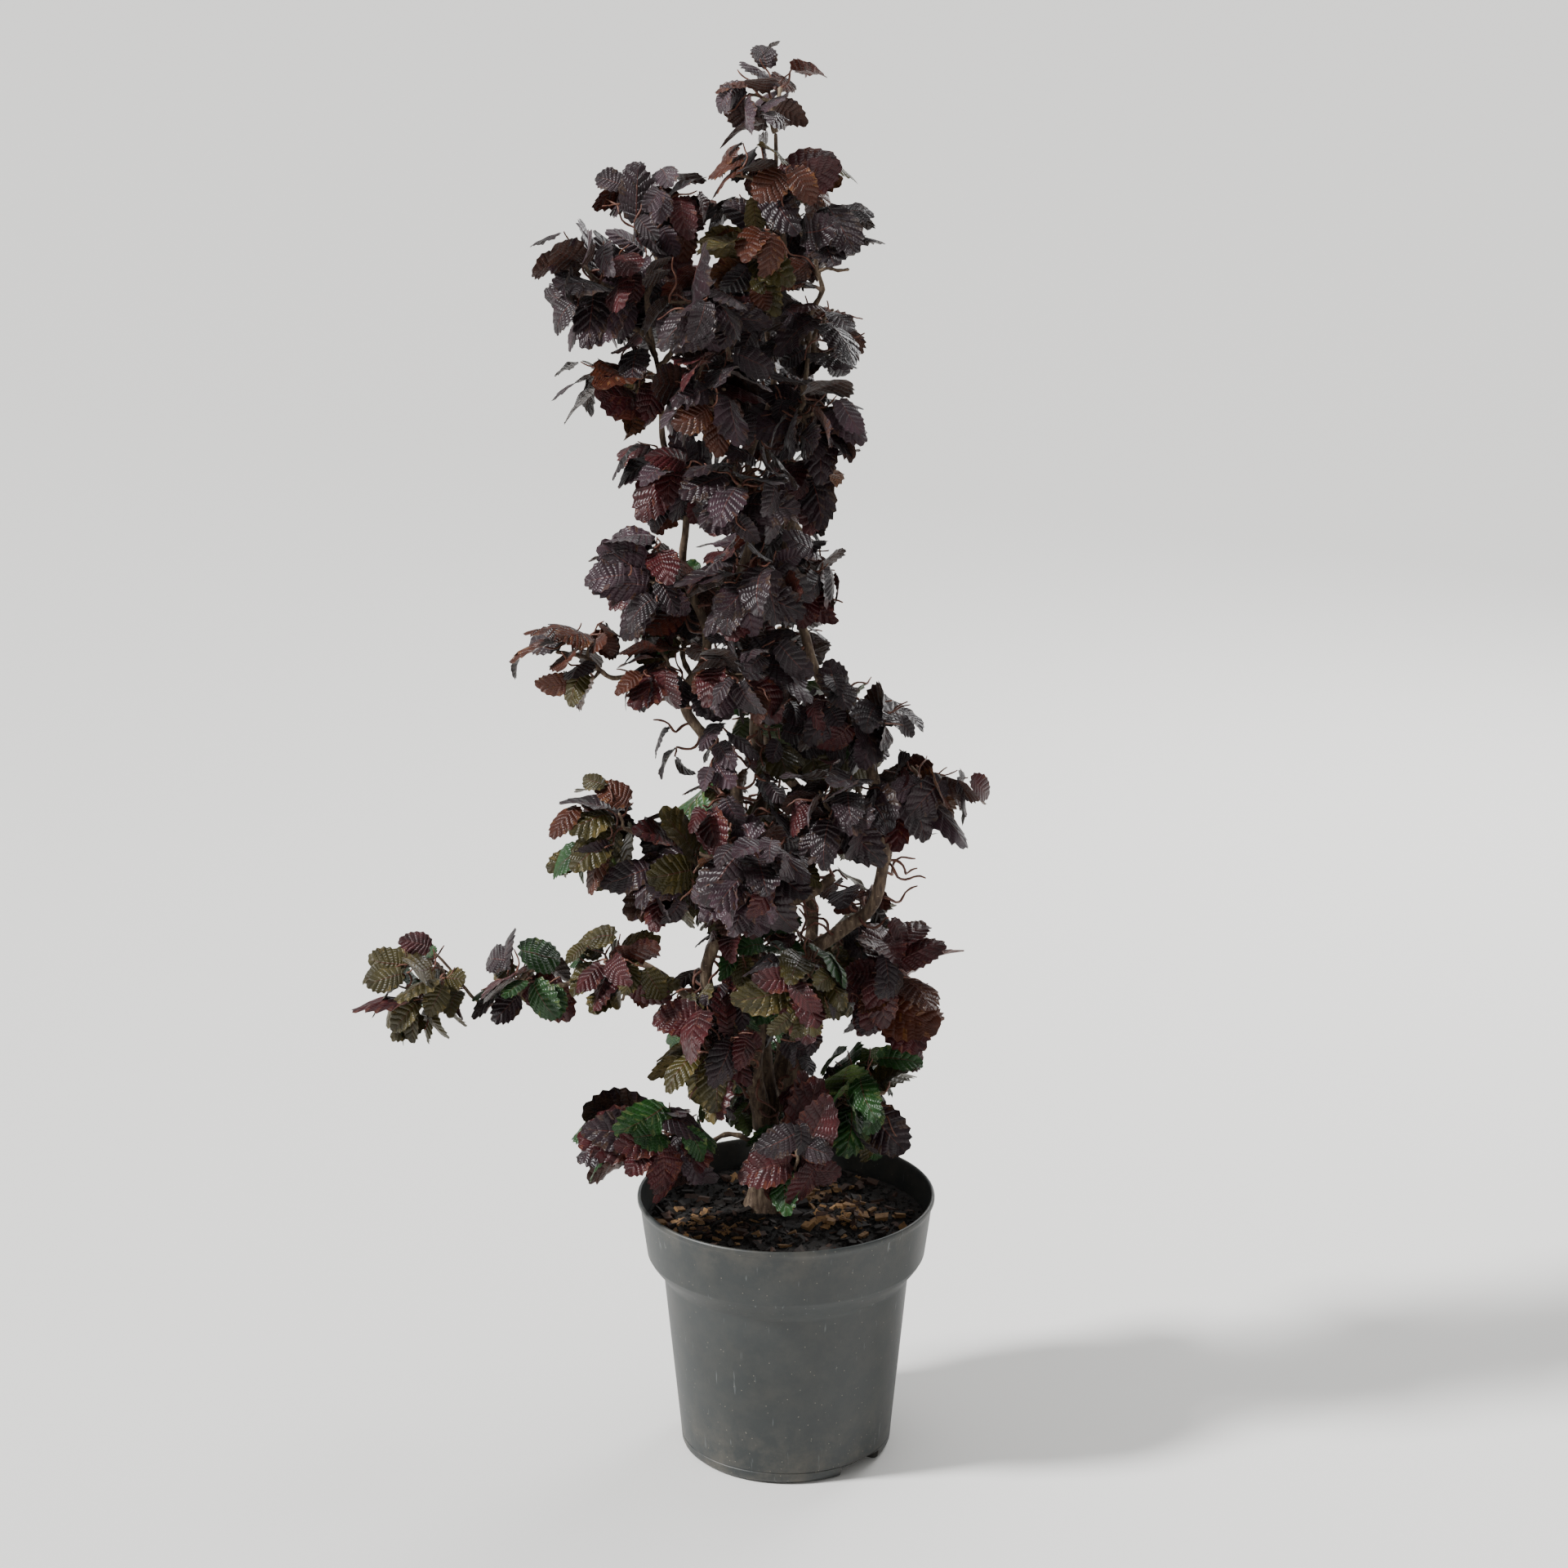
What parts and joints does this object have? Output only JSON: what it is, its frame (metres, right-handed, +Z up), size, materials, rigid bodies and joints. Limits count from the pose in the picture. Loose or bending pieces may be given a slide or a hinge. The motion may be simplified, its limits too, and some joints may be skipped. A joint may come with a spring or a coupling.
{
  "type": "potted contorted hazel",
  "caption": "Potted contorted purple hazel: twisted stems from a short trunk, masses of veined leaves and one long low branch, in a round tapered grey nursery pot.",
  "frame": {"origin": "middle of the pot's flat underside", "axes": "+Z up; the pictured side faces -Y; the long low branch points along -X"},
  "size_m": [0.5705, 0.2844, 1.2999],
  "materials": {
    "pot_plastic": "satin grey, lightly dusty",
    "potting_compost": "matt, damp bark compost",
    "bark": "matt grey-brown bark",
    "leaves_dark": "soft satin leaf",
    "leaves_green": "soft satin leaf",
    "leaves_maroon": "soft satin leaf",
    "leaves_olive": "soft satin leaf",
    "leaves_plum": "soft satin leaf",
    "leaves_rust": "soft satin leaf"
  },
  "bodies": {
    "root": {"pot": "pot_plastic", "soil": "potting_compost", "trunk": "bark", "stem_left": "bark", "stem_middle": "bark", "stem_right_low": "bark", "stem_right_high": "bark", "stem_back": "bark", "bough_left": "bark", "bough_low_right": "bark", "stub_left": "bark", "leader_tip": "leaves_plum", "leader_upper": "leaves_rust", "leader_right": "leaves_dark", "leader_left": "leaves_rust", "leader_back": "leaves_dark", "upper_left_top": "leaves_maroon", "upper_left_out": "leaves_plum", "upper_left_back": "leaves_dark", "upper_front": "leaves_dark", "upper_back": "leaves_dark", "upper_right": "leaves_dark", "left_flag": "leaves_rust", "heart_front": "leaves_dark", "heart_right": "leaves_dark", "heart_back": "leaves_dark", "neck_left": "leaves_maroon", "neck_front": "leaves_dark", "neck_right": "leaves_maroon", "waist_front": "leaves_dark", "waist_right": "leaves_maroon", "waist_back": "leaves_dark", "drape_left": "leaves_plum", "drape_back": "leaves_olive", "belt_front": "leaves_dark", "belt_back": "leaves_dark", "spur_left": "leaves_rust", "spur_near": "leaves_plum", "shoulder": "leaves_dark", "shoulder_back": "leaves_olive", "point_right": "leaves_maroon", "inner_right": "leaves_dark", "shelf_left_out": "leaves_olive", "shelf_left": "leaves_dark", "shelf_front": "leaves_plum", "shelf_back": "leaves_olive", "low_right": "leaves_maroon", "low_right_back": "leaves_olive", "low_front": "leaves_green", "branch_tip": "leaves_olive", "branch_middle": "leaves_green", "branch_root": "leaves_olive", "foot_left": "leaves_dark", "foot_left_low": "leaves_plum", "foot_back": "leaves_green", "foot_right": "leaves_dark", "foot_front": "leaves_maroon"}
  },
  "joints": []
}
